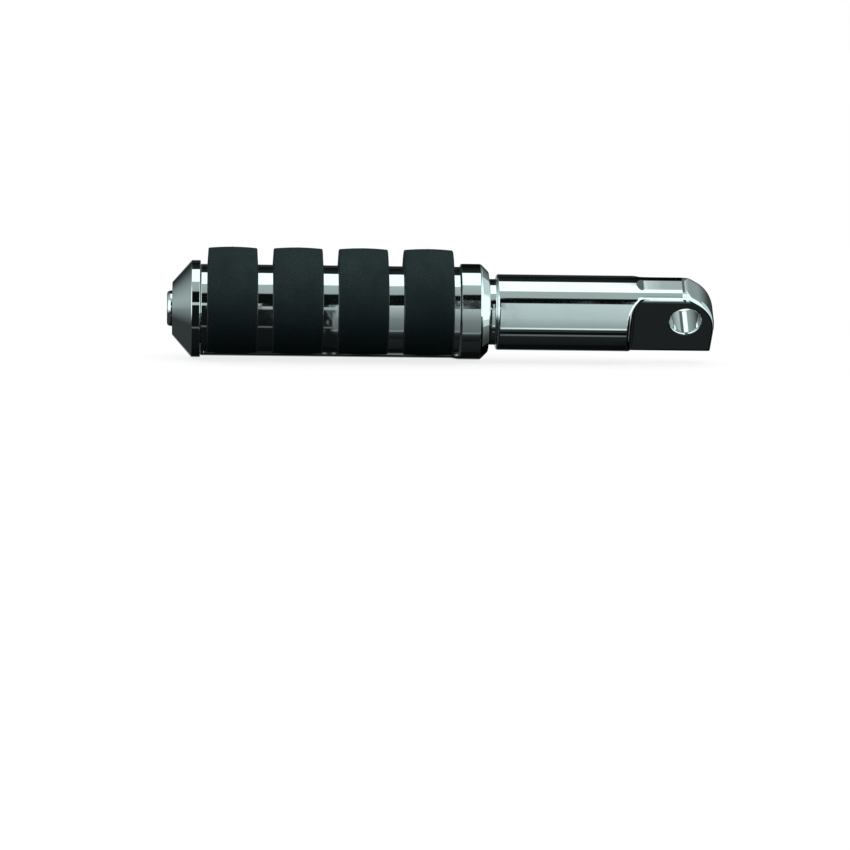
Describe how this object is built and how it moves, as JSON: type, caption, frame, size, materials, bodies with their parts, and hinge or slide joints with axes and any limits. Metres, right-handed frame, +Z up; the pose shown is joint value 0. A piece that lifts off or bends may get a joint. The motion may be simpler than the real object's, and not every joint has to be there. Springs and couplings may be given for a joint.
{
  "type": "motorcycle foot peg",
  "caption": "Rubber-banded chrome foot peg on a tapered clevis mount adapter, held by one socket-head bolt through its end cap.",
  "frame": {"origin": "centre of the clevis pin hole, at mid-thickness of the tang", "axes": "+X along the peg towards the tang and the vehicle, so the peg reaches out along -X; +Z up through the middle of the rubber crown; the pin hole lies in the YZ plane, 35 degrees below -Y"},
  "size_m": [0.1817, 0.0359, 0.0368],
  "materials": {
    "chrome": "polished chrome plating",
    "rubber": "matte moulded black rubber",
    "spring_steel": "zinc-plated spring steel"
  },
  "bodies": {
    "adapter": {"mount_adapter": "chrome"},
    "cap": {"end_cap": "chrome"},
    "barrel": {"sleeve": "chrome", "rubber_band_1": "rubber", "rubber_band_2": "rubber", "rubber_band_3": "rubber", "rubber_band_4": "rubber"},
    "washer": {"lock_washer": "spring_steel"},
    "bolt": {"clamp_bolt": "chrome"}
  },
  "joints": [
    {"name": "sleeve_draw_off", "type": "slide", "parent": "adapter", "child": "cap", "axis": [-1, 0, 0], "range_m": [0, 0.032]},
    {"name": "sleeve_swivel", "type": "hinge", "parent": "cap", "child": "barrel", "pos_m": [-0.12, 0.00103, -0.00147], "axis": [1, 0, 0], "continuous": true},
    {"name": "bolt_turn", "type": "hinge", "parent": "cap", "child": "washer", "pos_m": [-0.12, 0.00103, -0.00147], "axis": [1, 0, 0], "continuous": true},
    {"name": "bolt_draw", "type": "slide", "parent": "washer", "child": "bolt", "axis": [-1, 0, 0], "range_m": [0, 0.022]}
  ]
}
